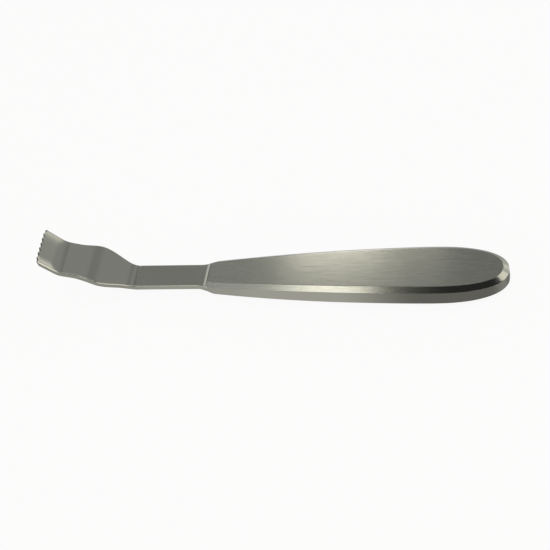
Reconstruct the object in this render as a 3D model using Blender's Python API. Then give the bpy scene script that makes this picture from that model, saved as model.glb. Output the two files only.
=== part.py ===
"""Finger retractor: one solid of steel, in metres, with the handle along +X and the toothed lip at -X.

It lies as it rests, with the flat of the handle's underside on z = 0. The shape is drawn as a straight blank,
by its half width, its top, its underside and its edge chamfers along the length. The blade end of that blank
is bent along a path of straights and arcs, and a comb-shaped cutter leaves the teeth.
"""

import math

import bmesh
import bpy

NAME = "retractor"

# Lengths along the blank
OVERALL_LENGTH = 0.178
HANDLE_LENGTH = 0.1141
HANDLE_END_LENGTH = 0.0286
RAMP_LENGTH = 0.0155
PANEL_LENGTH = 0.0126
LIP_LENGTH = 0.0101

# Widths
HANDLE_WIDTH = 0.0250
NECK_WIDTH = 0.0144
SHANK_WIDTH = 0.0115
BLADE_WIDTH = 0.0192
WAIST_WIDTH = 0.0169
LIP_WIDTH = 0.0179
LIP_CORNER = 0.0007
WIDEST_OFFSET = 0.0020
SWELL_LENGTH = 0.0092
NARROWING_LENGTH = 0.0145

# Thicknesses
HANDLE_THICKNESS = 0.0084
NECK_THICKNESS = 0.0054
END_THICKNESS = 0.0070
STRIP_THICKNESS = 0.0020
SHANK_OFFSET = 0.00035

# The flat of the underside, measured from the shoulder
REST_FLAT_START = 0.055
REST_FLAT_LENGTH = 0.036

# How full the sides of the handle are, and how blunt its end is
TAPER_POWER = 1.63
END_POWER = 2.4

# Edge chamfers
CHAMFER_WIDTH = 0.0021
CHAMFER_DROP = 0.0016
NECK_CHAMFER_WIDTH = 0.00175
NECK_CHAMFER_DROP = 0.00135
STRIP_CHAMFER = 0.0004
LIP_CHAMFER = 0.0007
MOST_OF_WALL = 0.42

# Bends, by the angle that each stretch climbs at and the radius of the top face
RAMP_ANGLE = math.radians(28.0)
PANEL_ANGLE = math.radians(15.0)
LIP_ANGLE = math.radians(42.0)
SHANK_BEND = 0.010
CROWN_BEND = 0.024
LIP_BEND = 0.008
LIP_DISH = 0.0003
DISH_POWER = 4
LIP_FADE = 0.0030

# Shoulder, where the shank meets the handle
SHOULDER_FILLET = 0.0018
FLARE_LENGTH = 0.0055

# Teeth, the outer two at the corners of an edge that is ground from behind
TOOTH_COUNT = 8
TOOTH_DEPTH = 0.0008
TIP_TRIM = 0.0001
BACK_BEVEL = 0.0024
EDGE_THICKNESS = 0.0004

# Fineness of the skin
ACROSS = 4
BEND_STEPS = 6
FILLET_STEPS = 6
CORNER_STEPS = 4
SWELL_STEPS = 6
NARROWING_STEPS = 10
TAPER_STEPS = 16
END_STEPS = 26
LEAST_ROW_GAP = 0.00006
WELD = 1e-7

# Places along the blank are measured from the shoulder: the handle lies ahead of it, the blade behind it.
BLADE_REACH = (
    RAMP_LENGTH * math.cos(RAMP_ANGLE)
    + PANEL_LENGTH * math.cos(PANEL_ANGLE)
    + LIP_LENGTH * math.cos(LIP_ANGLE)
)
# The lower edge and the dished middle of the lip stand a little ahead of the line that is bent.
TIP_OVERHANG = (EDGE_THICKNESS + LIP_DISH) * math.sin(LIP_ANGLE) - TIP_TRIM * math.cos(LIP_ANGLE)
SHANK_LENGTH = OVERALL_LENGTH - HANDLE_LENGTH - BLADE_REACH - TIP_OVERHANG
SHANK_END = -SHANK_LENGTH
CROWN = SHANK_END - RAMP_LENGTH
LIP_START = CROWN - PANEL_LENGTH
TIP = LIP_START - LIP_LENGTH
BLADE_WIDEST = CROWN + WIDEST_OFFSET
WAIST = BLADE_WIDEST - SWELL_LENGTH
WIDEST = HANDLE_LENGTH - HANDLE_END_LENGTH
REST_FLAT_END = REST_FLAT_START + REST_FLAT_LENGTH
SHOULDER_X = OVERALL_LENGTH / 2 - HANDLE_LENGTH
MIDDLE = HANDLE_THICKNESS / 2
SHANK_TOP = MIDDLE + SHANK_OFFSET + STRIP_THICKNESS / 2


def spread(first, last, steps):
    """Evenly spaced values from first to last, both of them included."""
    return [first + (last - first) * i / steps for i in range(steps + 1)]


def mix(first, last, share):
    return first + (last - first) * share


def ease(value, first, last):
    """0 before first and 1 after last, with a smooth run between."""
    t = min(max((value - first) / (last - first), 0.0), 1.0)
    return t * t * (3.0 - 2.0 * t)


def quarter_round(place, length):
    """0 up to one length before the shoulder, then a quarter round that reaches 1 at the shoulder."""
    t = min(max(place + length, 0.0) / length, 1.0)
    return 1.0 - math.sqrt(1.0 - t * t)


def bends():
    """Each bend going out from the shank: its corner, the angles before and after it, and its radius."""
    return (
        (SHANK_END, 0.0, RAMP_ANGLE, SHANK_BEND),
        (CROWN, RAMP_ANGLE, PANEL_ANGLE, CROWN_BEND),
        (LIP_START, PANEL_ANGLE, LIP_ANGLE, LIP_BEND),
    )


def bend_reach(before, after, radius):
    """Length from a bend's corner to where its arc begins."""
    return radius * math.tan(abs(after - before) / 2)


def on_path(place):
    """Where a place behind the shoulder comes on the bent top face: x, z and the angle it climbs at."""
    x = SHOULDER_X
    z = SHANK_TOP
    here = 0.0
    for corner, before, after, radius in bends():
        reach = bend_reach(before, after, radius)
        straight = here - max(place, corner + reach)
        x -= straight * math.cos(before)
        z += straight * math.sin(before)
        if place >= corner + reach:
            return x, z, before
        share = min((corner + reach - place) / (2 * reach), 1.0)
        turn = (after - before) * share
        chord = 2 * radius * math.sin(abs(turn) / 2)
        x -= chord * math.cos(before + turn / 2)
        z += chord * math.sin(before + turn / 2)
        if share < 1.0:
            return x, z, before + turn
        here = corner - reach
    x -= (here - place) * math.cos(LIP_ANGLE)
    z += (here - place) * math.sin(LIP_ANGLE)
    return x, z, LIP_ANGLE


def blade_half_width(place):
    """The lip narrows to its waist, and the blade swells to its widest place and narrows to the shank."""
    lip = mix(LIP_WIDTH, WAIST_WIDTH, ease(place, TIP, WAIST))
    wide = mix(lip, BLADE_WIDTH, ease(place, WAIST, BLADE_WIDEST))
    half = mix(wide, SHANK_WIDTH, ease(place, BLADE_WIDEST, BLADE_WIDEST + NARROWING_LENGTH)) / 2
    return half - LIP_CORNER * quarter_round(TIP - place, LIP_CORNER)


def handle_half_width(place):
    """A long full taper up to the widest place, then a blunt oval end."""
    if place <= WIDEST:
        back = 1.0 - place / WIDEST
        return mix(HANDLE_WIDTH, NECK_WIDTH, back**TAPER_POWER) / 2
    along = min((place - WIDEST) / HANDLE_END_LENGTH, 1.0)
    return HANDLE_WIDTH / 2 * (1.0 - along**END_POWER) ** (1.0 / END_POWER)


def half_width(place):
    if place >= 0:
        return handle_half_width(place)
    step = (NECK_WIDTH - SHANK_WIDTH) / 2
    return blade_half_width(place) + step * quarter_round(place, FLARE_LENGTH)


def handle_thickness(place, thick_from, thick_to):
    """Thickest between two places, and thinning in a soft curve to the neck and to the end."""
    if place < thick_from:
        return mix(HANDLE_THICKNESS, NECK_THICKNESS, (1.0 - place / thick_from) ** 2)
    beyond = max(place - thick_to, 0.0) / (HANDLE_LENGTH - thick_to)
    return mix(HANDLE_THICKNESS, END_THICKNESS, beyond**2)


def behind_lip(place):
    """0 on the lip and 1 on the panel, with a smooth run across the bend between them."""
    return ease(place, LIP_START - LIP_FADE / 2, LIP_START + LIP_FADE)


def strip_thickness(place):
    """Shank and blade are one strip, and the last stretch of the lip is ground off from behind."""
    return mix(EDGE_THICKNESS, STRIP_THICKNESS, min((place - TIP) / BACK_BEVEL, 1.0))


def levels(place):
    """Height of the top face and of the underside above the surface, before the blade is bent."""
    ahead = max(place, 0.0)
    top = MIDDLE + handle_thickness(ahead, WIDEST, WIDEST) / 2
    low = MIDDLE - handle_thickness(ahead, REST_FLAT_START, REST_FLAT_END) / 2
    if place >= 0:
        return top, low
    rise = quarter_round(place, SHOULDER_FILLET)
    return mix(SHANK_TOP, top, rise), mix(SHANK_TOP - strip_thickness(place), low, rise)


def chamfer(place):
    """Width and drop of the edge chamfer."""
    if place >= 0:
        share = ease(place, 0.0, WIDEST)
        return mix(NECK_CHAMFER_WIDTH, CHAMFER_WIDTH, share), mix(NECK_CHAMFER_DROP, CHAMFER_DROP, share)
    size = mix(LIP_CHAMFER, STRIP_CHAMFER, behind_lip(place))
    rise = quarter_round(place, SHOULDER_FILLET)
    drop = mix(min(size, MOST_OF_WALL * strip_thickness(place)), NECK_CHAMFER_DROP, rise)
    return mix(size, NECK_CHAMFER_WIDTH, rise), drop


def facing(place):
    """The way that the outline faces, seen from above. It turns only round the end of the handle."""
    if place <= WIDEST:
        return 0.0, 1.0
    half = HANDLE_WIDTH / 2
    along = ((place - WIDEST) / HANDLE_END_LENGTH) ** (END_POWER - 1.0) / HANDLE_END_LENGTH
    across = (handle_half_width(place) / half) ** (END_POWER - 1.0) / half
    size = math.hypot(along, across)
    return along / size, across / size


def bent(place, y, height):
    """Moves a point of the straight blank to where it lies once the blade is bent and the lip dished."""
    if place >= 0:
        return SHOULDER_X + place, y, height
    x, z, angle = on_path(place)
    dish = LIP_DISH * (1.0 - behind_lip(place)) * (1.0 - (y / half_width(place)) ** DISH_POWER)
    above = height - SHANK_TOP - dish
    return x + above * math.sin(angle), y, z + above * math.cos(angle)


def skin_point(place, side, across=1.0, on_rim=False):
    """A point of the top face (side 1) or the underside (side -1), or of the rim where its chamfer ends."""
    width, drop = chamfer(place)
    facing_x, facing_y = facing(place)
    inset = 0.0 if on_rim else width
    at = place - facing_x * inset
    y = (half_width(place) - facing_y * inset) * across
    top, low = levels(at)
    height = top if side > 0 else low
    if on_rim:
        height -= side * drop
    return bent(at, y, height)


def section(place):
    """Half of one cross-section, from the middle of the top face round to the middle of the underside."""
    shares = spread(0.0, 1.0, ACROSS)
    ring = [skin_point(place, 1, across) for across in shares]
    ring.append(skin_point(place, 1, on_rim=True))
    ring.append(skin_point(place, -1, on_rim=True))
    ring.extend(skin_point(place, -1, across) for across in reversed(shares))
    return ring


def places():
    """Every place along the blank that gets a cross-section."""
    found = {TIP, TIP + BACK_BEVEL, mix(TIP, LIP_START, 0.5), mix(SHANK_END, 0.0, 0.5)}
    for corner, before, after, radius in bends():
        reach = bend_reach(before, after, radius)
        found.update(spread(corner - reach, corner + reach, BEND_STEPS))
    found.update(spread(WAIST, BLADE_WIDEST, SWELL_STEPS))
    found.update(spread(BLADE_WIDEST, BLADE_WIDEST + NARROWING_LENGTH, NARROWING_STEPS))
    for angle in spread(0.0, math.pi / 2, CORNER_STEPS):
        found.add(TIP + LIP_CORNER * (1.0 - math.sin(angle)))
    for angle in spread(0.0, math.pi / 2, FILLET_STEPS):
        found.add(-FLARE_LENGTH * (1.0 - math.sin(angle)))
        found.add(-SHOULDER_FILLET * (1.0 - math.sin(angle)))
    found.update(spread(0.0, WIDEST, TAPER_STEPS))
    found.update((REST_FLAT_START, REST_FLAT_END))
    for angle in spread(0.0, math.pi / 2, END_STEPS):
        found.add(WIDEST + HANDLE_END_LENGTH * math.sin(angle) ** (2.0 / END_POWER))
    kept = []
    for place in sorted(found):
        if not kept or place - kept[-1] > LEAST_ROW_GAP:
            kept.append(place)
    kept[-1] = HANDLE_LENGTH
    return kept


def retractor_mesh():
    """A grid laid over the half sections on +Y, mirrored to -Y, and closed at the tip."""
    rows = [section(place) for place in places()]
    columns = len(rows[0])
    mesh = bmesh.new()
    grid = bmesh.ops.create_grid(mesh, x_segments=columns - 1, y_segments=len(rows) - 1, size=0.5)
    in_order = sorted(grid["verts"], key=lambda vertex: (round(vertex.co.y, 6), vertex.co.x))
    for index, vertex in enumerate(in_order):
        vertex.co = rows[index // columns][index % columns]
    bmesh.ops.remove_doubles(mesh, verts=mesh.verts, dist=WELD)
    whole = mesh.verts[:] + mesh.edges[:] + mesh.faces[:]
    bmesh.ops.mirror(mesh, geom=whole, axis="Y", merge_dist=WELD)
    tip_rim = [edge for edge in mesh.edges if edge.is_boundary]
    bmesh.ops.contextual_create(mesh, geom=tip_rim)
    bmesh.ops.recalc_face_normals(mesh, faces=mesh.faces[:])
    return mesh


def comb_mesh():
    """A block ahead of the lip and square to its face. Its zigzag side cuts the notches between the teeth."""
    gaps = TOOTH_COUNT - 1
    pitch = LIP_WIDTH / gaps
    reach = 3.0 * STRIP_THICKNESS
    outline = [(-reach, -LIP_WIDTH), (TIP_TRIM, -LIP_WIDTH)]
    for corner in range(2 * gaps + 1):
        depth = TOOTH_DEPTH if corner % 2 else 0.0
        outline.append((TIP_TRIM + depth, (corner - gaps) * pitch / 2))
    outline.extend([(TIP_TRIM, LIP_WIDTH), (-reach, LIP_WIDTH)])
    mesh = bmesh.new()
    base = mesh.faces.new([mesh.verts.new((along, across, -reach)) for along, across in outline])
    raised = bmesh.ops.extrude_face_region(mesh, geom=[base])["geom"]
    lifted = [item for item in raised if isinstance(item, bmesh.types.BMVert)]
    bmesh.ops.translate(mesh, verts=lifted, vec=(0.0, 0.0, 2 * reach))
    bmesh.ops.recalc_face_normals(mesh, faces=mesh.faces[:])
    return mesh


def object_from(mesh, name, collection):
    data = bpy.data.meshes.new(name)
    mesh.to_mesh(data)
    mesh.free()
    made = bpy.data.objects.new(name, data)
    collection.objects.link(made)
    return made


def brushed_steel():
    steel = bpy.data.materials.new("brushed_steel")
    steel.use_nodes = True
    shader = steel.node_tree.nodes["Principled BSDF"]
    shader.inputs["Base Color"].default_value = (0.55, 0.545, 0.52, 1.0)
    shader.inputs["Metallic"].default_value = 1.0
    shader.inputs["Roughness"].default_value = 0.32
    return steel


def make_comb(collection):
    """The tooth cutter, stood at the tip of the lip and turned with it."""
    comb = object_from(comb_mesh(), "tooth_comb", collection)
    x, z, angle = on_path(TIP)
    comb.location = (x, 0.0, z)
    comb.rotation_euler = (0.0, angle, 0.0)
    comb.hide_render = True
    comb.display_type = "WIRE"
    return comb


def make_retractor(collection, comb):
    retractor = object_from(retractor_mesh(), NAME, collection)
    retractor.data.materials.append(brushed_steel())
    retractor.data.shade_smooth()
    retractor.data.set_sharp_from_angle(angle=math.radians(20.0))
    teeth = retractor.modifiers.new("teeth", "BOOLEAN")
    teeth.operation = "DIFFERENCE"
    teeth.solver = "EXACT"
    teeth.object = comb
    return retractor


def clear_scene():
    for item in list(bpy.data.objects):
        bpy.data.objects.remove(item, do_unlink=True)


def collection_named(name):
    made = bpy.data.collections.new(name)
    bpy.context.scene.collection.children.link(made)
    return made


def main():
    clear_scene()
    parts = collection_named("finger_retractor")
    cutters = collection_named("cutters")
    cutters.hide_render = True
    make_retractor(parts, make_comb(cutters))


main()
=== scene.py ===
"""Finger retractor in brushed steel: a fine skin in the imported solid's place, a pale studio and a camera.

The skin is the straight blank of the instrument, drawn by its half width, its levels and its edge chamfers.
The blade end is then bent along straights and arcs, and the edge of the lip is notched.
"""

import math

import bmesh
import bpy
from bpy.props import FloatProperty, FloatVectorProperty, IntProperty, PointerProperty
from mathutils import Matrix, Vector


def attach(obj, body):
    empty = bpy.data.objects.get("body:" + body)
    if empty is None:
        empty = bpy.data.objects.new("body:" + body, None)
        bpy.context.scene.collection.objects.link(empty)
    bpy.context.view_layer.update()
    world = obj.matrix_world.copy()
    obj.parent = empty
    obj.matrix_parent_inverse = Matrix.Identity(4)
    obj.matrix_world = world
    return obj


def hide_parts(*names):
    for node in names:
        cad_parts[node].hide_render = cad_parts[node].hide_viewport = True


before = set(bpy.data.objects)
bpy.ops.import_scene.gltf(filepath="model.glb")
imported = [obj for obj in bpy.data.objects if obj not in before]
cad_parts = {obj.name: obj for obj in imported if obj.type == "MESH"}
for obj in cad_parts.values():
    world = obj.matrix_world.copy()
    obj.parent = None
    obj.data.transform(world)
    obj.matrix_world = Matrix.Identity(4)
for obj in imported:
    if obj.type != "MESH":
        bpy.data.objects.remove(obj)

bl_info = {
    "name": "Finger retractor",
    "version": (1, 0, 0),
    "blender": (4, 5, 0),
    "location": "View3D > Sidebar > Retractor",
    "description": "Builds a finger retractor in brushed steel with its studio",
    "category": "Add Mesh",
}

NODE = "retractor"
PIECE = "retractor_steel"
MM = 0.001
WELD = 1e-7
LEAST_ROW_GAP = 0.04 * MM
OVERALL_LENGTH = 178.0 * MM

# Marks on the lengthwise edges of the skin.
TOP_FACE_EDGE, TOP_RIM, LOW_RIM, LOW_FACE_EDGE = 1, 2, 3, 4

# How often each noise on the steel repeats in a metre, along and across the strokes.
FINE_STROKES = (450.0, 3200.0)
BROAD_STROKES = (100.0, 2700.0)
CLOUDS = (35.0, 70.0)
NOISE_DETAIL = 2.0
NOISE_ROUGHNESS = 0.6
NOISE_RANGE = (0.3, 0.7)

# Shares of the fine and the broad strokes, what strokes and clouds add to the roughness, and how much of the
# relief is left on the blade.
SHARES_IN_TONE = (0.55, 0.45)
SHARES_IN_RELIEF = (0.8, 0.2)
STROKE_ROUGHNESS = 0.012
CLOUD_ROUGHNESS = 0.02
RELIEF_ON_BLADE = 0.15

# Painted shade on the ground sides: how their darkened tone changes along X, standing in for the darker floor
# that they reflect towards the end of the handle. Each change has the places where it starts and ends, and what
# it adds before and after them.
PAINTED_SIDE_SHADES = (
    (-0.06, -0.045, 0.75, 0.9),
    (-0.018, -0.003, 0.0, 0.12),
    (0.022, 0.058, 0.0, -0.68),
    (0.083, 0.0885, 0.0, 0.34),
)

# The run from satin to brushed steel at the shoulder, how little a side faces up to take the painted side
# shade, and where along X the tips of the teeth are and how far they face back to take the painted tooth shade.
BRUSHED_RUN = 1.0 * MM
SHADED_SIDE_FACING = (0.45, 0.15)
TEETH_PLACE = (-0.084, -0.086)
TEETH_FACING = (-0.15, -0.4)

BLACK = (0.0, 0.0, 0.0)
WHITE = (1.0, 1.0, 1.0)
WARM = (1.0, 0.95, 0.85)
FLOOR_RADIUS = 6.0
FLOOR_SIDES = 96

# The level lamps over the bench: edges along X and along Y in metres, brightness setting, share of it and
# colour.
LEVEL_LAMPS = {
    "front_strip": ((-0.24, -0.156), (-0.75, -0.02), "strip_light", 1.0, WARM),
    "front_side": ((-0.272, -0.24), (-0.75, -0.02), "strip_light", 0.5, WARM),
    "back_box": ((-0.245, -0.15), (0.735, 1.15), "back_light", 1.0, WARM),
    "back_side": ((-0.15, -0.07), (0.735, 1.15), "back_light", 0.22, WARM),
    "key": ((-0.15, 0.25), (-0.12, 0.2), "key_light", 1.0, WHITE),
}
LAMP_HEIGHT = 0.7

# The lamp in front: the way to it, its width and height in degrees seen from the object, and its distance.
GLINT_TOWARDS = (0.68, -0.655, 0.34)
GLINT_SPANS = (56.0, 30.0)
GLINT_DISTANCE = 5.0

# Bands of the surroundings: the part of the direction that each goes by, where it is 0 and where it is 1, and
# the two values that it has there instead, if they are given.
BANDS = {
    "front": ("Y", 0.25, -0.25),
    "right": ("X", -0.3, -0.2),
    "panel_start": ("X", -0.03, 0.07),
    "gap_start": ("X", 0.1, 0.2),
    "gap_end": ("X", 0.28, 0.42),
    "gap_depth": ("Y", 0.68, 0.55, 0.65, 1.0),
    "far_left": ("X", -0.3, -0.5),
    "far_back": ("Y", 0.2, 0.45),
    "window_start": ("around", -0.04, 0.05),
    "window_end": ("around", 0.864, 0.611),
    "window_top": ("Z", 0.82, 0.74),
    "dip_start": ("X", -0.2, -0.12),
    "dip_end": ("X", -0.06, 0.0),
    "back_left": ("X", -0.2, -0.27),
    "low": ("Z", 0.335, 0.285),
    "skirting_top": ("Z", 0.24, 0.1),
    "skirting_start": ("X", 0.0, 0.2),
}

# How bright each part of the surroundings is. The shades, the dip and the skirting are taken away.
GLOW = {
    "walls": 0.33,
    "front": 0.22,
    "front_shade": 0.52,
    "panel": 0.13,
    "back_left": 0.05,
    "dip": 0.06,
    "window": 0.85,
    "haze": 0.78,
    "skirting": 0.48,
    "far_left": 0.55,
}
WALL_TONE = (0.99, 1.0, 0.97)
HAZE_WARMTH = 0.5

# The photograph's view: where the camera stands in degrees, how far off, the point that it aims at, the
# photograph's scale at that point, and the pixel that the point has in it, from the left and from the top.
CAMERA_AZIMUTH = 16.738
CAMERA_ELEVATION = 43.252
CAMERA_ROLL = 12.289
CAMERA_DISTANCE = 1.00907
CAMERA_TARGET = (0.0, 0.0, 4.2 * MM)
PIXELS_PER_METRE = 2634.0
TARGET_PIXEL = (275.5, 276.707)
PICTURE_MIDDLE = 275.0
SENSOR_WIDTH = 36.0

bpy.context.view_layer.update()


def length(name, description, default):
    """A size in metres that a user may change."""
    return FloatProperty(
        name=name, description=description, default=default, min=0.0, unit="LENGTH", precision=5
    )


def angle(name, description, degrees):
    return FloatProperty(name=name, description=description, default=math.radians(degrees), unit="ROTATION")


def share(name, description, default):
    return FloatProperty(
        name=name, description=description, default=default, min=0.0, max=1.0, subtype="FACTOR"
    )


def colour(name, description, default):
    return FloatVectorProperty(
        name=name, description=description, default=default, size=3, min=0.0, subtype="COLOR"
    )


class BladeSizes(bpy.types.PropertyGroup):
    """Sizes of the shank, the bent blade and the toothed lip."""

    shank_width: length("Shank width", "Width of the straight shank", 11.5 * MM)
    strip_thickness: length("Strip thickness", "Thickness of the shank and the blade", 2.0 * MM)
    shank_offset: length("Shank offset", "How far the shank lies above the middle of the handle", 0.35 * MM)
    ramp_length: length("Ramp length", "From the shank to the crown bend", 15.5 * MM)
    panel_length: length("Panel length", "From the crown bend to the lip bend", 12.6 * MM)
    lip_length: length("Lip length", "From the lip bend to the teeth", 10.1 * MM)
    ramp_angle: angle("Ramp angle", "How steeply the ramp climbs", 28.0)
    panel_angle: angle("Panel angle", "How steeply the panel climbs", 15.0)
    lip_angle: angle("Lip angle", "How steeply the lip climbs", 42.0)
    shank_bend: length("Shank bend", "Radius of the bend where the ramp begins", 10.0 * MM)
    crown_bend: length("Crown bend", "Radius of the bend at the widest place of the blade", 24.0 * MM)
    lip_bend: length("Lip bend", "Radius of the bend where the lip begins", 6.5 * MM)
    blade_width: length("Blade width", "Widest place of the blade", 19.2 * MM)
    widest_offset: length("Widest offset", "From the crown bend back to the widest place", 2.0 * MM)
    swell_length: length("Swell length", "From the waist to the widest place", 9.2 * MM)
    narrowing_length: length("Narrowing length", "From the widest place to the shank's width", 14.5 * MM)
    waist_width: length("Waist width", "Narrowest place between the lip and the crown", 16.9 * MM)
    lip_width: length("Lip width", "Width across the teeth", 17.9 * MM)
    lip_corner: length("Lip corner", "Round at the two corners of the lip", 1.2 * MM)
    lip_dish: length("Lip dish", "How deep the middle of the lip lies", 0.3 * MM)
    edge_thickness: length("Edge thickness", "Thickness left at the teeth", 0.4 * MM)
    back_bevel: length("Back bevel", "How much of the lip is ground from behind", 2.4 * MM)
    tooth_count: IntProperty(name="Teeth", description="Number of teeth", default=8, min=2)
    tooth_depth: length("Tooth depth", "Depth of the notches", 0.8 * MM)
    tooth_zone: length("Tooth zone", "Length of lip whose skin follows the notches", 1.8 * MM)
    tooth_round: share("Tooth rounding", "How round the tips and roots are", 0.25)
    tip_trim: length("Tip trim", "What the grinding of the teeth takes off their tips", 0.1 * MM)
    strip_chamfer: length("Strip chamfer", "Edge round of the shank and the blade", 0.4 * MM)
    lip_chamfer: length("Lip chamfer", "Edge round of the lip", 0.7 * MM)
    lip_fade: length("Lip fade", "How far before the lip bend the dish begins to run out", 3.6 * MM)


class HandleSizes(bpy.types.PropertyGroup):
    """Sizes of the handle."""

    handle_length: length("Handle length", "From the shoulder to the rounded end", 114.5 * MM)
    end_length: length("End length", "From the widest place to the rounded end", 28.6 * MM)
    handle_width: length("Handle width", "Widest place of the handle", 25.0 * MM)
    neck_width: length("Neck width", "Width at the shoulder", 14.3 * MM)
    handle_thickness: length("Handle thickness", "Thickest place of the handle", 8.4 * MM)
    neck_thickness: length("Neck thickness", "Thickness at the shoulder", 5.4 * MM)
    end_thickness: length("End thickness", "Thickness at the rounded end", 7.0 * MM)
    rest_start: length("Rest start", "From the shoulder to the flat that it rests on", 55.0 * MM)
    rest_length: length("Rest length", "Length of the flat that it rests on", 36.0 * MM)
    taper_power: FloatProperty(name="Taper power", description="How full the sides are", default=1.63)
    end_power: FloatProperty(name="End power", description="How blunt the end is", default=2.4)
    chamfer_width: length("Chamfer width", "Width of the edge chamfer", 2.1 * MM)
    chamfer_drop: length("Chamfer drop", "Drop of the edge chamfer", 1.6 * MM)
    neck_chamfer_width: length("Neck chamfer width", "Width of the chamfer at the shoulder", 1.75 * MM)
    neck_chamfer_drop: length("Neck chamfer drop", "Drop of the chamfer at the shoulder", 1.35 * MM)
    shoulder_fillet: length("Shoulder fillet", "Round where the shank meets the handle", 1.8 * MM)
    flare_length: length("Flare length", "How far before the shoulder the shank begins to widen", 3.8 * MM)
    corner_length: length("Corner length", "How far past the shoulder the handle reaches its width", 3.0 * MM)
    edge_round: length("Edge round", "Width of the soft round along each crisp edge", 0.14 * MM)


class SteelFinish(bpy.types.PropertyGroup):
    """Colour and finish of the steel."""

    tone: colour("Tone", "Colour of the brushed handle", (0.42, 0.429, 0.388))
    worn_tone: colour("Worn tone", "Colour of the lighter brush strokes", (0.5, 0.508, 0.457))
    satin_tone: colour("Satin tone", "Colour of the blade", (0.412, 0.4175, 0.377))
    # Painted shade: the sides are darkened to stand in for the shadowed floor that they reflect, not for a
    # coarser grind.
    painted_side_shade: colour("Side tone", "Colour of the coarser ground sides", (0.338, 0.334, 0.29))
    # Painted shade: the tips of the teeth that face back are painted near black, as they look in shade.
    painted_tooth_shade: colour("Edge tone", "Colour of the tips of the teeth", (0.05, 0.05, 0.045))
    grazing_tone: share("Grazing tone", "How bright the steel stays at a grazing view", 0.4)
    roughness: share("Roughness", "Roughness of the satin blade", 0.11)
    brushed_roughness: share("Brushed roughness", "Roughness of the brushed handle", 0.13)
    grain_depth: length("Grain depth", "Depth of the brush strokes", 0.005 * MM)


class StudioSettings(bpy.types.PropertyGroup):
    """Floor, light and camera."""

    floor_tone: colour("Floor tone", "Colour of the floor", (0.93, 0.93, 0.93))
    floor_glow: share("Floor glow", "How much of the floor's white comes without light", 0.92)
    key_light: FloatProperty(name="Key light", description="Brightness of the lamp overhead", default=1.5)
    strip_light: FloatProperty(name="Strip light", description="Brightness of the front strip", default=1.75)
    back_light: FloatProperty(name="Back light", description="Brightness of the box behind", default=2.38)
    glint_light: FloatProperty(name="Glint light", description="Brightness of the lamp in front", default=2.2)
    lens: FloatProperty(name="Lens", description="Focal length in millimetres", default=174.4)


def spread(first, last, steps):
    return [first + (last - first) * i / steps for i in range(steps + 1)]


def mix(first, last, part):
    return first + (last - first) * part


def ease(value, first, last):
    """0 before first and 1 after last, with a smooth run between."""
    t = min(max((value - first) / (last - first), 0.0), 1.0)
    return t * t * (3.0 - 2.0 * t)


def quarter_round(place, reach):
    """0 up to one reach before the shoulder, then a quarter round that comes to 1 at the shoulder."""
    t = min(max(place + reach, 0.0) / reach, 1.0)
    return 1.0 - math.sqrt(1.0 - t * t)


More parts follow.
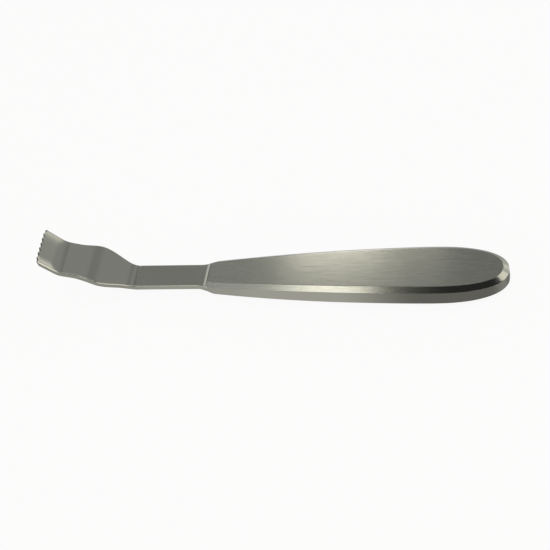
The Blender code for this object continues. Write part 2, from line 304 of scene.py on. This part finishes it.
class Blank:
    """The straight blank and its bends. Places are measured from the shoulder, and are below 0 on the blade."""

    COLUMNS = 34
    EDGE_COLUMNS = 6
    ROUND_SEGMENTS = 3
    MOST_OF_WALL = 0.42
    DISH_POWER = 4
    FADE_PAST_BEND = 0.25
    ROWS = {
        "teeth": 6,
        "lip_corner": 6,
        "blade": 70,
        "shank": 30,
        "bend": 10,
        "flare": 18,
        "fillet": 14,
        "taper": 60,
        "end": 72,
    }

    def __init__(self, blade, handle):
        self.b = blade
        self.h = handle
        reach = (
            blade.ramp_length * math.cos(blade.ramp_angle)
            + blade.panel_length * math.cos(blade.panel_angle)
            + blade.lip_length * math.cos(blade.lip_angle)
        )
        overhang = (blade.edge_thickness + blade.lip_dish) * math.sin(blade.lip_angle)
        overhang -= blade.tip_trim * math.cos(blade.lip_angle)
        self.shank_end = -(OVERALL_LENGTH - handle.handle_length - reach - overhang)
        self.crown = self.shank_end - blade.ramp_length
        self.lip_start = self.crown - blade.panel_length
        self.tip = self.lip_start - blade.lip_length
        self.widest = handle.handle_length - handle.end_length
        self.rest_end = handle.rest_start + handle.rest_length
        self.shoulder_x = OVERALL_LENGTH / 2 - handle.handle_length
        self.middle = handle.handle_thickness / 2
        self.shank_top = self.middle + blade.shank_offset + blade.strip_thickness / 2

    def bends(self):
        """Each bend going out from the shank: its corner, the angles before and after it, and its radius."""
        return (
            (self.shank_end, 0.0, self.b.ramp_angle, self.b.shank_bend),
            (self.crown, self.b.ramp_angle, self.b.panel_angle, self.b.crown_bend),
            (self.lip_start, self.b.panel_angle, self.b.lip_angle, self.b.lip_bend),
        )

    def on_path(self, place):
        """Where a place behind the shoulder comes on the bent top face: x, z and the angle it climbs at."""
        x = self.shoulder_x
        z = self.shank_top
        here = 0.0
        for corner, before, after, radius in self.bends():
            reach = radius * math.tan(abs(after - before) / 2)
            straight = here - max(place, corner + reach)
            x -= straight * math.cos(before)
            z += straight * math.sin(before)
            if place >= corner + reach:
                return x, z, before
            part = min((corner + reach - place) / (2 * reach), 1.0)
            turn = (after - before) * part
            chord = 2 * radius * math.sin(abs(turn) / 2)
            x -= chord * math.cos(before + turn / 2)
            z += chord * math.sin(before + turn / 2)
            if part < 1.0:
                return x, z, before + turn
            here = corner - reach
        x -= (here - place) * math.cos(self.b.lip_angle)
        z += (here - place) * math.sin(self.b.lip_angle)
        return x, z, self.b.lip_angle

    def flare(self, place):
        """0 on the shank and 1 on the handle, with a smooth run past the shoulder."""
        return ease(place, -self.h.flare_length, self.h.corner_length)

    def half_width(self, place):
        blade = self.blade_half_width(min(place, 0.0))
        return mix(blade, self.handle_half_width(max(place, 0.0)), self.flare(place))

    def blade_half_width(self, place):
        """The lip narrows to its waist, and the blade swells to its widest place and narrows to the shank."""
        widest = self.crown + self.b.widest_offset
        waist = widest - self.b.swell_length
        lip = mix(self.b.lip_width, self.b.waist_width, ease(place, self.tip, waist))
        wide = mix(lip, self.b.blade_width, ease(place, waist, widest))
        half = mix(wide, self.b.shank_width, ease(place, widest, widest + self.b.narrowing_length)) / 2
        return half - self.b.lip_corner * quarter_round(self.tip - place, self.b.lip_corner)

    def handle_half_width(self, place):
        """A long full taper up to the widest place, then a blunt oval end."""
        if place <= self.widest:
            back = 1.0 - place / self.widest
            return mix(self.h.handle_width, self.h.neck_width, back**self.h.taper_power) / 2
        along = min((place - self.widest) / self.h.end_length, 1.0)
        return self.h.handle_width / 2 * (1.0 - along**self.h.end_power) ** (1.0 / self.h.end_power)

    def handle_thickness(self, place, thick_from, thick_to):
        """Thickest between two places, and thinning in a soft curve to the neck and to the end."""
        if place < thick_from:
            return mix(self.h.handle_thickness, self.h.neck_thickness, (1.0 - place / thick_from) ** 2)
        beyond = max(place - thick_to, 0.0) / (self.h.handle_length - thick_to)
        return mix(self.h.handle_thickness, self.h.end_thickness, beyond**2)

    def behind_lip(self, place):
        """0 on the lip and 1 on the panel, with a smooth run across the bend between them."""
        past = self.b.lip_fade * self.FADE_PAST_BEND
        return ease(place, self.lip_start - self.b.lip_fade, self.lip_start + past)

    def strip_thickness(self, place):
        """Shank and blade are one strip, and the last stretch of the lip is ground off from behind."""
        ground = min((place - self.tip) / self.b.back_bevel, 1.0)
        return mix(self.b.edge_thickness, self.b.strip_thickness, ground)

    def levels(self, place):
        """Height of the top face and of the underside above the surface, before the blade is bent."""
        ahead = max(place, 0.0)
        top = self.middle + self.handle_thickness(ahead, self.widest, self.widest) / 2
        low = self.middle - self.handle_thickness(ahead, self.h.rest_start, self.rest_end) / 2
        low = mix(self.shank_top - self.strip_thickness(place), low, self.flare(place))
        if place >= 0:
            return top, low
        return mix(self.shank_top, top, quarter_round(place, self.h.shoulder_fillet)), low

    def chamfer(self, place, side):
        """Width, drop and roundness of the edge: a flat chamfer on the handle and a round on the blade."""
        part = ease(place, 0.0, self.widest)
        width = mix(self.h.neck_chamfer_width, self.h.chamfer_width, part)
        drop = mix(self.h.neck_chamfer_drop, self.h.chamfer_drop, part)
        if place >= 0 and side > 0:
            return width, drop, 0.0
        size = mix(self.b.lip_chamfer, self.b.strip_chamfer, self.behind_lip(place))
        rise = quarter_round(place, self.h.shoulder_fillet) if side > 0 else self.flare(place)
        strip_drop = min(size, self.MOST_OF_WALL * self.strip_thickness(place))
        return mix(size, width, rise), mix(strip_drop, drop, rise), 1.0 - rise

    def facing(self, place):
        """The way that the outline faces, seen from above. It turns only round the end of the handle."""
        if place <= self.widest:
            return 0.0, 1.0
        half = self.h.handle_width / 2
        power = self.h.end_power
        along = ((place - self.widest) / self.h.end_length) ** (power - 1.0) / self.h.end_length
        across = (self.handle_half_width(place) / half) ** (power - 1.0) / half
        size = math.hypot(along, across)
        return along / size, across / size

    def bent(self, place, y, height):
        """Moves a point of the straight blank to where it lies once the blade is bent and the lip dished."""
        if place >= 0:
            return self.shoulder_x + place, y, height
        x, z, climb = self.on_path(place)
        dish = self.b.lip_dish * (1.0 - (y / self.half_width(place)) ** self.DISH_POWER)
        above = height - self.shank_top - dish * (1.0 - self.behind_lip(place))
        return x + above * math.sin(climb), y, z + above * math.cos(climb)

    def notched(self, place, y):
        """Draws the skin of the last stretch back into the notches between the teeth."""
        zone = self.b.tooth_zone
        along = (place - self.tip) / zone
        if along >= 1.0:
            return place
        pitch = self.b.lip_width / (self.b.tooth_count - 1)
        saw = 2.0 * abs((y / pitch + self.b.tooth_count / 2) % 1.0 - 0.5)
        soft = math.sin(math.pi / 2 * saw) ** 2
        cut = self.b.tip_trim + self.b.tooth_depth * mix(saw, soft, self.b.tooth_round)
        return self.tip + cut + (zone - cut) * along

    def skin_point(self, place, side, across, edge):
        """A point of the top (side 1) or underside (-1). Edge runs from 0 on the face to 1 on the wall."""
        width, drop, roundness = self.chamfer(place, side)
        facing_x, facing_y = self.facing(place)
        turn = edge * math.pi / 2
        inset = width * (1.0 - mix(edge, math.sin(turn), roundness))
        sunk = drop * mix(edge, 1.0 - math.cos(turn), roundness)
        face_at = place - facing_x * width
        at = place - facing_x * inset
        y = (self.half_width(place) - facing_y * inset) * across
        if place < 0:
            at = self.notched(at, y)
            face_at = at
        top, low = self.levels(face_at)
        return self.bent(at, y, (top if side > 0 else low) - side * sunk)

    def section(self, place):
        """Half of one cross-section, from the middle of the top face round to the middle of the underside."""
        over = [(part, 0.0) for part in spread(0.0, 1.0, self.COLUMNS)]
        over += [(1.0, edge) for edge in spread(0.0, 1.0, self.EDGE_COLUMNS)[1:]]
        ring = [self.skin_point(place, 1, across, edge) for across, edge in over]
        return ring + [self.skin_point(place, -1, across, edge) for across, edge in reversed(over)]

    def places(self):
        """Every place along the blank that gets a cross-section."""
        rows = self.ROWS
        quarter = math.pi / 2
        found = set(spread(self.tip, self.tip + self.b.tooth_zone, rows["teeth"]))
        for turn in spread(0.0, quarter, rows["lip_corner"]):
            found.add(self.tip + self.b.lip_corner * (1.0 - math.sin(turn)))
        found.update(spread(self.tip + self.b.tooth_zone, self.shank_end, rows["blade"]))
        found.update(spread(self.shank_end, -self.h.flare_length, rows["shank"]))
        found.add(self.tip + self.b.back_bevel)
        for corner, before, after, radius in self.bends():
            reach = radius * math.tan(abs(after - before) / 2)
            found.update(spread(corner - reach, corner + reach, rows["bend"]))
        found.update(spread(-self.h.flare_length, self.h.corner_length, rows["flare"]))
        for turn in spread(0.0, quarter, rows["fillet"]):
            found.add(-self.h.shoulder_fillet * (1.0 - math.sin(turn)))
        found.update(spread(0.0, self.widest, rows["taper"]))
        corners = (0.0, self.h.rest_start, self.rest_end)
        found.update(corners)
        for turn in spread(0.0, quarter, rows["end"]):
            found.add(self.widest + self.h.end_length * math.sin(turn) ** (2.0 / self.h.end_power))
        kept = [self.tip]
        for place in sorted(found):
            if place - kept[-1] > LEAST_ROW_GAP:
                kept.append(place)
            elif place in corners:
                kept[-1] = place
        kept[-1] = self.h.handle_length
        return kept


def wrapped_skin(blank):
    """A grid wrapped round the half sections on +Y, mirrored, closed at the teeth and eased at its edges."""
    rows = [blank.section(place) for place in blank.places()]
    columns = len(rows[0])
    mesh = bmesh.new()
    crisp = mesh.verts.layers.int.new("crisp")
    grid = bmesh.ops.create_grid(mesh, x_segments=columns - 1, y_segments=len(rows) - 1, size=0.5)
    in_order = sorted(grid["verts"], key=lambda vertex: (round(vertex.co.y, 6), round(vertex.co.x, 6)))
    face_edge = Blank.COLUMNS
    rim = Blank.COLUMNS + Blank.EDGE_COLUMNS
    marked = {
        face_edge: TOP_FACE_EDGE,
        rim: TOP_RIM,
        columns - 1 - rim: LOW_RIM,
        columns - 1 - face_edge: LOW_FACE_EDGE,
    }
    for index, vertex in enumerate(in_order):
        row, column = divmod(index, columns)
        vertex.co = rows[row][column]
        vertex[crisp] = marked.get(column, 0)
    bmesh.ops.remove_doubles(mesh, verts=mesh.verts, dist=WELD)
    whole = mesh.verts[:] + mesh.edges[:] + mesh.faces[:]
    bmesh.ops.mirror(mesh, geom=whole, axis="Y", merge_dist=WELD)
    close_teeth(mesh, crisp)
    bmesh.ops.recalc_face_normals(mesh, faces=mesh.faces[:])
    ease_edges(mesh, crisp, blank)
    sharpen_shoulder(mesh, blank)
    return mesh


def close_teeth(mesh, crisp):
    """Bridges the open end of the lip, from the upper outline of the teeth to the lower one."""
    rim = [edge for edge in mesh.edges if edge.is_boundary]
    walls = [edge for edge in rim if sorted(vertex[crisp] for vertex in edge.verts) == [TOP_RIM, LOW_RIM]]
    outlines = [edge for edge in rim if edge not in walls]
    bmesh.ops.bridge_loops(mesh, edges=outlines)
    for edge in outlines:
        edge.smooth = False


def ease_edges(mesh, crisp, blank):
    """Rounds the crisp lengthwise edges of the handle by a hair, as brushing leaves them."""
    long_edges = []
    for edge in mesh.edges:
        first, last = edge.verts
        on_handle = min(first.co.x, last.co.x) >= blank.shoulder_x - blank.h.shoulder_fillet / 2
        if first[crisp] and first[crisp] == last[crisp] and on_handle:
            long_edges.append(edge)
    bmesh.ops.bevel(
        mesh,
        geom=long_edges,
        offset=blank.h.edge_round,
        offset_type="OFFSET",
        segments=Blank.ROUND_SEGMENTS,
        profile=0.5,
        affect="EDGES",
        clamp_overlap=True,
        material=-1,
    )


def sharpen_shoulder(mesh, blank):
    """Keeps the upper edge of the shoulder crisp."""
    for edge in mesh.edges:
        if all(abs(v.co.x - blank.shoulder_x) < WELD and v.co.z > blank.shank_top for v in edge.verts):
            edge.smooth = False


class Wire:
    """One output of a node. Python's operators on it add the Math and Vector Math nodes."""

    def __init__(self, nodes, socket):
        self.nodes = nodes
        self.socket = socket

    def _math(self, operation, *values):
        kind = "ShaderNodeMath"
        if any(isinstance(value, Wire) and value.socket.type in ("VECTOR", "RGBA") for value in values):
            kind = "ShaderNodeVectorMath"
        return self.nodes.add(kind, {"operation": operation}, dict(enumerate(values)))

    def __add__(self, other):
        return self._math("ADD", self, other)

    __radd__ = __add__

    def __sub__(self, other):
        return self._math("SUBTRACT", self, other)

    def __rsub__(self, other):
        return self._math("SUBTRACT", other, self)

    def __mul__(self, other):
        return self._math("MULTIPLY", self, other)

    __rmul__ = __mul__


class Nodes:
    """The node tree of one material or world."""

    def __init__(self, tree):
        self.tree = tree
        tree.nodes.clear()

    def add(self, kind, settings=None, inputs=None, output=0):
        """Makes a node, sets it up, gives its sockets their values or links, and hands back one output."""
        node = self.tree.nodes.new(kind)
        for name, value in (settings or {}).items():
            setattr(node, name, value)
        for name, value in (inputs or {}).items():
            socket = node.inputs[name]
            if isinstance(value, Wire):
                self.tree.links.new(value.socket, socket)
            else:
                socket.default_value = value
        return Wire(self, node.outputs[output]) if node.outputs else None

    def blend(self, factor, first, last):
        """A colour between two others. A Mix node's colours are its inputs 6 and 7, and its output 2."""
        inputs = {"Factor": factor, 6: first, 7: last}
        return self.add("ShaderNodeMix", {"data_type": "RGBA"}, inputs, output=2)

    def between(self, value, low, high, to_low=0.0, to_high=1.0):
        """A value carried smoothly from one range to another."""
        inputs = {"Value": value, "From Min": low, "From Max": high, "To Min": to_low, "To Max": to_high}
        return self.add("ShaderNodeMapRange", {"interpolation_type": "SMOOTHSTEP"}, inputs)


def opaque(tone):
    return (*tone, 1.0)


def brushed_steel(finish, blank):
    """Steel brushed along the handle and satin on the blade, with painted shade on the sides and on the tips of
    the teeth. The strokes run along X.
    """
    steel = bpy.data.materials.new("brushed_steel")
    steel.use_nodes = True
    nodes = Nodes(steel.node_tree)
    place = nodes.add("ShaderNodeTexCoord", output="Object")

    def noise(along, across):
        scaled = nodes.add("ShaderNodeMapping", inputs={"Vector": place, "Scale": (along, across, across)})
        inputs = {"Vector": scaled, "Scale": 1.0, "Detail": NOISE_DETAIL, "Roughness": NOISE_ROUGHNESS}
        return nodes.add("ShaderNodeTexNoise", inputs=inputs)

    def stroke_mix(shares):
        return fine * shares[0] + broad * shares[1]

    fine = noise(*FINE_STROKES)
    broad = noise(*BROAD_STROKES)
    cloud = noise(*CLOUDS)
    x = nodes.add("ShaderNodeSeparateXYZ", inputs={"Vector": place}, output="X")
    on_handle = nodes.between(x, blank.shoulder_x, blank.shoulder_x + BRUSHED_RUN)
    streaks = nodes.between(stroke_mix(SHARES_IN_TONE), *NOISE_RANGE)
    brushed_tone = nodes.blend(streaks, opaque(finish.tone), opaque(finish.worn_tone))
    face_tone = nodes.blend(on_handle, opaque(finish.satin_tone), brushed_tone)

    normal = nodes.add("ShaderNodeNewGeometry", output="Normal")
    facing_x = nodes.add("ShaderNodeSeparateXYZ", inputs={"Vector": normal}, output="X")
    facing_z = nodes.add("ShaderNodeSeparateXYZ", inputs={"Vector": normal}, output="Z")
    # Painted shade on the sides that face little upward, scaled along X.
    first_shade, *more_shades = (nodes.between(x, *shade) for shade in PAINTED_SIDE_SHADES)
    painted_side_shade = nodes.blend(sum(more_shades, first_shade), opaque(BLACK), opaque(finish.painted_side_shade))
    tone = nodes.blend(nodes.between(facing_z, *SHADED_SIDE_FACING), face_tone, painted_side_shade)
    # Painted shade: near black on the tips of the teeth where they face back.
    tooth_shade_mask = nodes.between(x, *TEETH_PLACE) * nodes.between(facing_x, *TEETH_FACING)
    tone = nodes.blend(tooth_shade_mask, tone, opaque(finish.painted_tooth_shade))

    brushed = finish.brushed_roughness - finish.roughness
    uneven = (streaks - 0.5) * STROKE_ROUGHNESS
    roughness = on_handle * brushed + finish.roughness + uneven + (cloud - 0.5) * CLOUD_ROUGHNESS
    relief = stroke_mix(SHARES_IN_RELIEF) * (on_handle * (1.0 - RELIEF_ON_BLADE) + RELIEF_ON_BLADE)
    inputs = {"Strength": 1.0, "Distance": finish.grain_depth, "Height": relief}
    bump = nodes.add("ShaderNodeBump", inputs=inputs)
    shader = nodes.add(
        "ShaderNodeBsdfPrincipled",
        inputs={
            "Base Color": tone,
            "Metallic": 1.0,
            "Specular Tint": opaque((finish.grazing_tone,) * 3),
            "Roughness": roughness,
            "Normal": bump,
        },
    )
    nodes.add("ShaderNodeOutputMaterial", inputs={"Surface": shader})
    return steel


def object_from(mesh, name):
    data = bpy.data.meshes.new(name)
    mesh.to_mesh(data)
    mesh.free()
    made = bpy.data.objects.new(name, data)
    bpy.context.scene.collection.objects.link(made)
    return made


def build_instrument(scene):
    """The whole instrument in one skin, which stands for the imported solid."""
    blank = Blank(scene.retractor_blade, scene.retractor_handle)
    piece = object_from(wrapped_skin(blank), PIECE)
    piece.data.materials.append(brushed_steel(scene.retractor_finish, blank))
    for polygon in piece.data.polygons:
        polygon.use_smooth = True
    shading = piece.modifiers.new("shading", "WEIGHTED_NORMAL")
    shading.keep_sharp = True
    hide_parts(NODE)
    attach(piece, "root")


def rectangle_lamp(name, size, radiance, tone):
    """A rectangular lamp that the camera doesn't see. It shows in the steel, and a radiance of 1 is white."""
    data = bpy.data.lights.new(name, "AREA")
    data.shape = "RECTANGLE"
    data.size, data.size_y = size
    data.energy = radiance * math.pi * data.size * data.size_y
    data.color = tone
    lamp = bpy.data.objects.new(name, data)
    lamp.visible_camera = False
    bpy.context.scene.collection.objects.link(lamp)
    return lamp


def build_lamps(studio):
    """The strips and boxes over the bench, and the small lamp in front that faces the object."""
    for name, (x_span, y_span, setting, part, tone) in LEVEL_LAMPS.items():
        size = (x_span[1] - x_span[0], y_span[1] - y_span[0])
        lamp = rectangle_lamp(name, size, part * getattr(studio, setting), tone)
        lamp.location = (sum(x_span) / 2, sum(y_span) / 2, LAMP_HEIGHT)
    towards = Vector(GLINT_TOWARDS).normalized()
    size = [2 * GLINT_DISTANCE * math.tan(math.radians(span) / 2) for span in GLINT_SPANS]
    glint = rectangle_lamp("glint", size, studio.glint_light, WARM)
    level = Vector((0.0, 0.0, 1.0)).cross(towards).normalized()
    glint.location = towards * GLINT_DISTANCE
    glint.rotation_euler = Matrix((level, towards.cross(level), towards)).transposed().to_euler()


def pale_floor(studio):
    """A round floor that looks white to the camera and in the steel, and still takes the object's shadow."""
    mesh = bmesh.new()
    bmesh.ops.create_circle(mesh, cap_ends=True, segments=FLOOR_SIDES, radius=FLOOR_RADIUS)
    floor = object_from(mesh, "floor")
    paint = bpy.data.materials.new("pale_floor")
    paint.use_nodes = True
    nodes = Nodes(paint.node_tree)
    matt = nodes.add("ShaderNodeBsdfDiffuse", inputs={"Color": opaque(studio.floor_tone)})
    glow = nodes.add("ShaderNodeEmission", inputs={"Color": opaque(WHITE), "Strength": 1.0})
    seen = nodes.add("ShaderNodeLightPath", output="Is Camera Ray")
    mirrored = nodes.add("ShaderNodeLightPath", output="Is Glossy Ray")
    through = nodes.add("ShaderNodeLightPath", output="Is Transmission Ray")
    factor = (seen + mirrored + through) * studio.floor_glow
    both = nodes.add("ShaderNodeMixShader", inputs={0: factor, 1: matt, 2: glow})
    nodes.add("ShaderNodeOutputMaterial", inputs={"Surface": both})
    floor.data.materials.append(paint)


def studio_world():
    """Pale toward the horizon, grey above, and dark overhead in front, like the walls of a small studio."""
    world = bpy.data.worlds.new("studio")
    bpy.context.scene.world = world
    world.use_nodes = True
    nodes = Nodes(world.node_tree)
    direction = nodes.add("ShaderNodeTexCoord", output="Generated")
    by = {
        axis: nodes.add("ShaderNodeSeparateXYZ", inputs={"Vector": direction}, output=axis) for axis in "XYZ"
    }
    by["around"] = nodes.add("ShaderNodeMath", {"operation": "ARCTAN2"}, {0: by["Y"], 1: by["X"]})
    band = {name: nodes.between(by[axis], *limits) for name, (axis, *limits) in BANDS.items()}

    gap = band["gap_start"] - band["gap_end"]
    panel = band["panel_start"] - gap * band["gap_depth"]
    dip = band["dip_start"] - band["dip_end"]
    behind = panel * GLOW["panel"] + band["back_left"] * GLOW["back_left"] - dip * GLOW["dip"]
    front = GLOW["front"] - band["right"] * GLOW["front_shade"]
    walls = GLOW["walls"] + band["front"] * front + (1.0 - band["front"]) * behind

    window = band["window_start"] * band["window_end"] * band["window_top"]
    beside_window = band["low"] * (1.0 - window)
    skirting = band["skirting_top"] * band["skirting_start"]
    haze = beside_window * (GLOW["haze"] - skirting * GLOW["skirting"])
    far_left = band["far_left"] * band["far_back"] * (1.0 - band["low"])
    strength = walls + window * GLOW["window"] + haze + far_left * GLOW["far_left"]
    tone = nodes.blend(window + beside_window * HAZE_WARMTH, opaque(WALL_TONE), opaque(WARM))
    light = nodes.add("ShaderNodeBackground", inputs={"Color": tone, "Strength": strength})
    nodes.add("ShaderNodeOutputWorld", inputs={"Surface": light})


def aim_camera(studio):
    """The photograph's own view: a long lens a metre away, above and a little to the right."""
    degrees = (CAMERA_AZIMUTH, CAMERA_ELEVATION, CAMERA_ROLL)
    azimuth, elevation, roll = (math.radians(value) for value in degrees)
    back = Vector(
        (
            math.sin(azimuth) * math.cos(elevation),
            -math.cos(azimuth) * math.cos(elevation),
            math.sin(elevation),
        )
    )
    level = Vector((math.cos(azimuth), math.sin(azimuth), 0.0))
    upright = back.cross(level)
    right = math.cos(roll) * level - math.sin(roll) * upright
    up = math.sin(roll) * level + math.cos(roll) * upright
    target = Vector(CAMERA_TARGET)
    sideways, lower = ((pixel - PICTURE_MIDDLE) / PIXELS_PER_METRE for pixel in TARGET_PIXEL)
    data = bpy.data.cameras.new("camera")
    data.lens = studio.lens
    data.sensor_width = SENSOR_WIDTH
    data.clip_start = 10.0 * MM
    camera = bpy.data.objects.new("camera", data)
    camera.location = target + back * CAMERA_DISTANCE - right * sideways + up * lower
    camera.rotation_euler = Matrix((right, up, back)).transposed().to_euler()
    bpy.context.scene.collection.objects.link(camera)
    bpy.context.scene.camera = camera


class RETRACTOR_OT_instrument(bpy.types.Operator):
    """Build the instrument: handle, shank, blade and toothed lip in one piece"""

    bl_idname = "retractor.instrument"
    bl_label = "Instrument"

    def execute(self, context):
        build_instrument(context.scene)
        return {"FINISHED"}


class RETRACTOR_OT_studio(bpy.types.Operator):
    """Build the pale floor, the lamps, the surroundings and the camera"""

    bl_idname = "retractor.studio"
    bl_label = "Studio"

    def execute(self, context):
        studio = context.scene.retractor_studio
        context.scene.view_settings.view_transform = "Standard"
        pale_floor(studio)
        studio_world()
        build_lamps(studio)
        aim_camera(studio)
        return {"FINISHED"}


class RETRACTOR_PT_panel(bpy.types.Panel):
    """Sizes, finish and studio of the retractor"""

    bl_label = "Finger retractor"
    bl_idname = "RETRACTOR_PT_panel"
    bl_space_type = "VIEW_3D"
    bl_region_type = "UI"
    bl_category = "Retractor"

    def draw(self, context):
        scene = context.scene
        for title, settings in (
            ("Blade", scene.retractor_blade),
            ("Handle", scene.retractor_handle),
            ("Finish", scene.retractor_finish),
            ("Studio", scene.retractor_studio),
        ):
            box = self.layout.box()
            box.label(text=title)
            for name in settings.bl_rna.properties.keys():
                if name not in ("rna_type", "name"):
                    box.prop(settings, name)
        self.layout.operator("retractor.instrument")
        self.layout.operator("retractor.studio")


CLASSES = (
    BladeSizes,
    HandleSizes,
    SteelFinish,
    StudioSettings,
    RETRACTOR_OT_instrument,
    RETRACTOR_OT_studio,
    RETRACTOR_PT_panel,
)
SETTINGS = {
    "retractor_blade": BladeSizes,
    "retractor_handle": HandleSizes,
    "retractor_finish": SteelFinish,
    "retractor_studio": StudioSettings,
}


def register():
    for item in CLASSES:
        bpy.utils.register_class(item)
    for name, group in SETTINGS.items():
        setattr(bpy.types.Scene, name, PointerProperty(type=group))


def unregister():
    for name in SETTINGS:
        delattr(bpy.types.Scene, name)
    for item in reversed(CLASSES):
        bpy.utils.unregister_class(item)


def main():
    register()
    bpy.ops.retractor.instrument()
    bpy.ops.retractor.studio()


if __name__ == "__main__":
    main()
